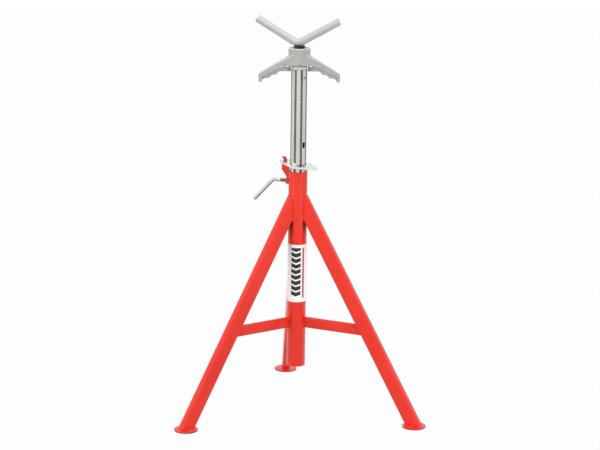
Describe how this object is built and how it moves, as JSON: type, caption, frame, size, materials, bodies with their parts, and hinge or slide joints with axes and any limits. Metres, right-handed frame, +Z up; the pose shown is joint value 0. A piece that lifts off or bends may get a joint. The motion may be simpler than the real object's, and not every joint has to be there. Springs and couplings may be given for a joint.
{
  "type": "pipe jack stand",
  "caption": "Welded tripod pipe stand with a sliding fluted post, a tilting lock plate and clamp screw, and a V head raised by a winged jack nut.",
  "frame": {"origin": "on the floor, at the centre of the stand's bounding box; the column's axis is 84.25 mm in front of it", "axes": "+Z up, front (between the two front legs) towards -Y, +X to the right seen from the front"},
  "size_m": [0.6448, 0.5666, 1.0338],
  "materials": {
    "red_enamel": "gloss",
    "post_zinc": "satin",
    "bright_zinc": "bright",
    "cast_grey": "matt",
    "head_steel": "satin",
    "screw_steel": "satin",
    "pad_brass": "satin",
    "label_white": "satin"
  },
  "bodies": {
    "base": {"column_tube": "red_enamel", "leg_left": "red_enamel", "leg_right": "red_enamel", "leg_rear": "red_enamel", "brace_left": "red_enamel", "brace_right": "red_enamel", "brace_rear": "red_enamel", "foot_left": "red_enamel", "foot_right": "red_enamel", "foot_rear": "red_enamel", "label_wrap": "label_white", "guide_rivet": "red_enamel", "hook_bracket": "red_enamel", "clamp_nut": "red_enamel"},
    "post": {"inner_post": "post_zinc", "post_cap": "post_zinc", "key_pin": "pad_brass", "thrust_washer": "bright_zinc"},
    "nut": {"handle_nut": "cast_grey"},
    "screw": {"jack_screw": "screw_steel", "v_head": "head_steel", "stop_washer": "bright_zinc", "stop_bolt": "bright_zinc"},
    "plate": {"lock_plate": "bright_zinc"},
    "pad": {"clamp_pad": "pad_brass"},
    "clamp": {"clamp_screw": "bright_zinc"}
  },
  "joints": [
    {"name": "post_slide", "type": "slide", "parent": "base", "child": "post", "axis": [0, 0, 1], "range_m": [-0.211, 0.241]},
    {"name": "nut_turn", "type": "hinge", "parent": "post", "child": "nut", "pos_m": [0, -0.08425, 0.9108], "axis": [0, 0, -1], "range_deg": [0, 7086]},
    {"name": "screw_lift", "type": "slide", "parent": "post", "child": "screw", "axis": [0, 0, 1], "range_m": [0, 0.1]},
    {"name": "plate_tilt", "type": "hinge", "parent": "base", "child": "plate", "pos_m": [-0.03961, -0.06578, 0.65817], "axis": [-0.4226, -0.9063, 0], "range_deg": [0, 8]},
    {"name": "clamp_advance", "type": "slide", "parent": "base", "child": "pad", "axis": [-0.9063, 0.4226, 0], "range_m": [0, 0.0046]},
    {"name": "clamp_turn", "type": "hinge", "parent": "pad", "child": "clamp", "pos_m": [0, -0.08425, 0.609], "axis": [-0.9063, 0.4226, 0], "range_deg": [0, 1080]}
  ],
  "couplings": [
    {"joint": "screw_lift", "follows": "nut_turn", "m_per_rad": 0.00080851},
    {"joint": "clamp_advance", "follows": "clamp_turn", "m_per_rad": 0.00023873}
  ]
}
